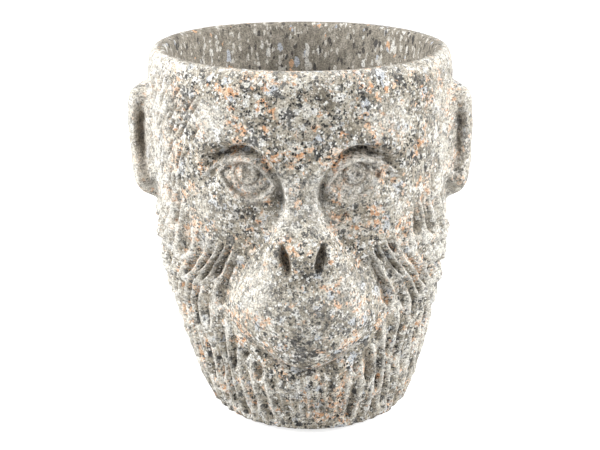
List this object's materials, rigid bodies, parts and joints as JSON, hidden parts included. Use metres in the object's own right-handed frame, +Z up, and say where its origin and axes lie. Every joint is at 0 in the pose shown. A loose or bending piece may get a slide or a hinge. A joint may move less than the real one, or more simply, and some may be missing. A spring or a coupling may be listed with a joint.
{
  "type": "cachepot",
  "caption": "Cachepot cast in speckled cement as an ape's head, with an open round bowl for a grow pot, a waterproof coat inside and soft pads under the base.",
  "frame": {"origin": "middle of the footprint box, on the table under the pads", "axes": "+Z up along the bowl's axis, the face looks along -Y, +X is the viewer's right"},
  "size_m": [0.17, 0.1658, 0.1776],
  "materials": {
    "cement": "matte cement with fine terrazzo chips",
    "sealer": "satin clear sealer over cement",
    "pad": "matte foam rubber"
  },
  "bodies": {
    "root": {"head_casting": "cement", "waterproof_coat": "sealer", "foot_pad_front_left": "pad", "foot_pad_front_right": "pad", "foot_pad_back_left": "pad", "foot_pad_back_right": "pad"}
  },
  "joints": []
}
